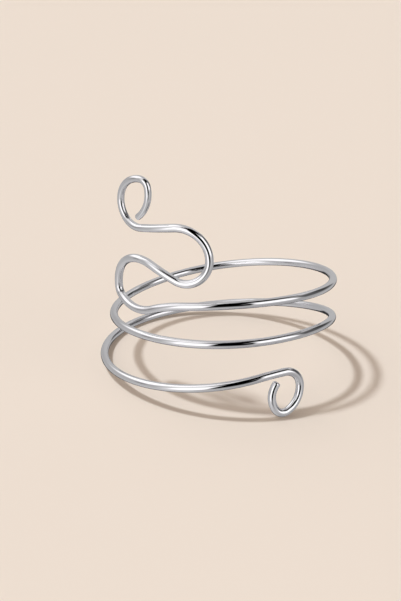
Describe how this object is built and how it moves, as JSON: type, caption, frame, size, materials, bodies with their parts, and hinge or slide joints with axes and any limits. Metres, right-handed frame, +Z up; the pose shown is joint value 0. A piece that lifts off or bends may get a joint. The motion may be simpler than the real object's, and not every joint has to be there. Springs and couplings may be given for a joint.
{
  "type": "upper arm cuff",
  "caption": "Springy wire cuff for the upper arm: an open coil with a curled lower end and an S-shaped swirl that rises to a looped eye; stands by itself on a table.",
  "frame": {"origin": "under the middle of the whole cuff, on the surface that it stands on", "axes": "+Z up from that surface, -Y towards the side with the swirl and the curl, +X to the right of someone who looks at that side"},
  "size_m": [0.0842, 0.088, 0.0777],
  "materials": {
    "silver_wire": "polished, mirror-like metal with faint drawing lines and fine wear along the wire"
  },
  "bodies": {
    "root": {"cuff_wire": "silver_wire"}
  },
  "joints": []
}
